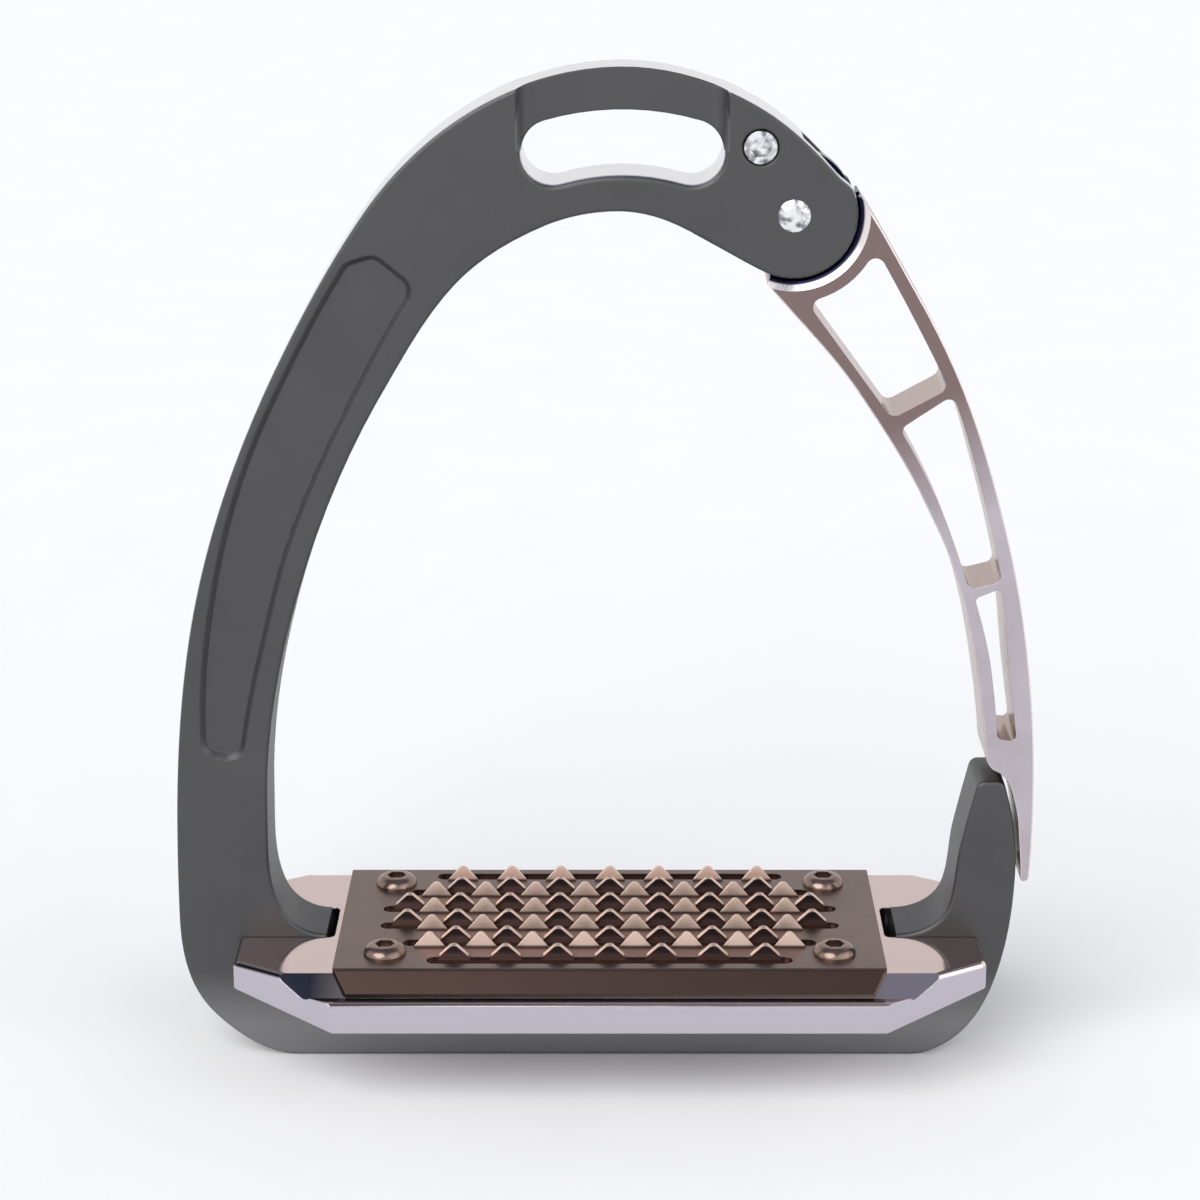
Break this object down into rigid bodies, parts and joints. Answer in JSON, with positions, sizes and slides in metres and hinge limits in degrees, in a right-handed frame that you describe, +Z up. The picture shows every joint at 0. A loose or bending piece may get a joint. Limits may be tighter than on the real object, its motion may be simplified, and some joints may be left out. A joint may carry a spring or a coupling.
{
  "type": "safety stirrup iron",
  "caption": "Stirrup iron with a leather slot in its bow, a sprung outer arm that swings open to free the foot, and a wide tread with a toothed grip plate.",
  "frame": {"origin": "middle of the bottom, on the surface that the bottom bar stands on", "axes": "+Z up to the leather slot, +X towards the release arm, -Y towards the front"},
  "size_m": [0.1484, 0.0566, 0.1738],
  "materials": {
    "bow": "satin graphite anodised, bright polished edges",
    "release_arm": "rose-tinted silver anodised",
    "tread_base": "polished silver anodised",
    "grip_plate": "bronze-brown coated sheet steel",
    "grip_screw": "bronze-brown coated steel",
    "bright_steel": "polished stainless steel",
    "hidden_steel": "plain stainless steel",
    "spring_wire": "drawn spring wire",
    "bush": "sintered bronze",
    "washer": "white acetal",
    "bumper": "moulded black rubber"
  },
  "bodies": {
    "frame": {"arm_bumper": "bumper", "frame": "bow", "grip_plate": "grip_plate", "grip_screw_back_left": "grip_screw", "grip_screw_back_right": "grip_screw", "grip_screw_front_left": "grip_screw", "grip_screw_front_right": "grip_screw", "pivot_pin": "bright_steel", "pivot_screw": "bright_steel", "return_spring": "spring_wire", "spring_anchor_screw": "bright_steel", "thrust_washer_back": "washer", "thrust_washer_front": "washer", "tread_base": "tread_base", "tread_screw_left": "hidden_steel", "tread_screw_right": "hidden_steel"},
    "release_arm": {"release_arm": "release_arm", "pivot_bush": "bush"}
  },
  "joints": [
    {"name": "arm_release", "type": "hinge", "parent": "frame", "child": "release_arm", "pos_m": [0.0311, 0, 0.1499], "axis": [0, -1, 0], "range_deg": [0, 38], "stiffness_Nm_per_rad": 2, "springref_deg": -45.84, "deforming": ["return_spring"]}
  ]
}
